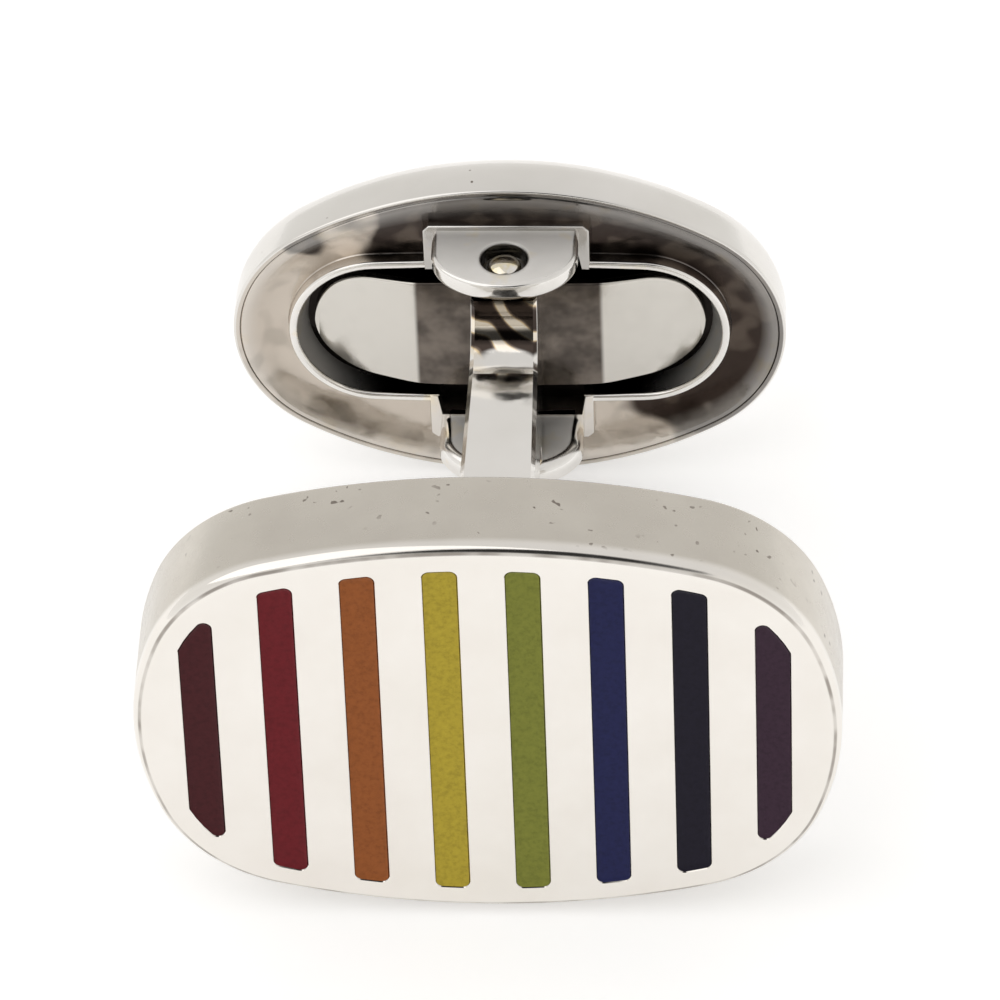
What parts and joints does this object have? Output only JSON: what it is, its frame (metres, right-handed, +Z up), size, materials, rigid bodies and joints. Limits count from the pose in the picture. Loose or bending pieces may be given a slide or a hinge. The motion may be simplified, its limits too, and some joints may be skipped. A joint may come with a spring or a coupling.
{
  "type": "cufflink",
  "caption": "Oval cufflink with an enamel striped face, a fixed tapering post and a swivelling oval toggle held on a pin and leaf spring.",
  "frame": {"origin": "centre of the flat front face", "axes": "+X along the face's length, +Y from the face along the post to the toggle, +Z up along the face's short axis"},
  "size_m": [0.02, 0.0196, 0.0138],
  "materials": {
    "polished_plating": "polished plating with fine wear",
    "spring_steel": "bright rolled steel",
    "enamel_maroon": "glossy enamel, ground flush",
    "enamel_red": "glossy enamel, ground flush",
    "enamel_orange": "glossy enamel, ground flush",
    "enamel_yellow": "glossy enamel, ground flush",
    "enamel_green": "glossy enamel, ground flush",
    "enamel_blue": "glossy enamel, ground flush",
    "enamel_navy": "glossy enamel, ground flush",
    "enamel_purple": "glossy enamel, ground flush"
  },
  "bodies": {
    "head": {"face_case": "polished_plating", "head_back_plate": "polished_plating", "post": "polished_plating", "enamel_maroon": "enamel_maroon", "enamel_red": "enamel_red", "enamel_orange": "enamel_orange", "enamel_yellow": "enamel_yellow", "enamel_green": "enamel_green", "enamel_blue": "enamel_blue", "enamel_navy": "enamel_navy", "enamel_purple": "enamel_purple"},
    "toggle": {"toggle_dish": "polished_plating", "toggle_cover": "polished_plating", "leaf_spring": "spring_steel", "pivot_pin": "spring_steel"}
  },
  "joints": [
    {"name": "toggle_swivel", "type": "hinge", "parent": "head", "child": "toggle", "pos_m": [0, 0.016, 0], "axis": [0, 0, 1], "range_deg": [-90, 90], "deforming": ["leaf_spring"]}
  ]
}
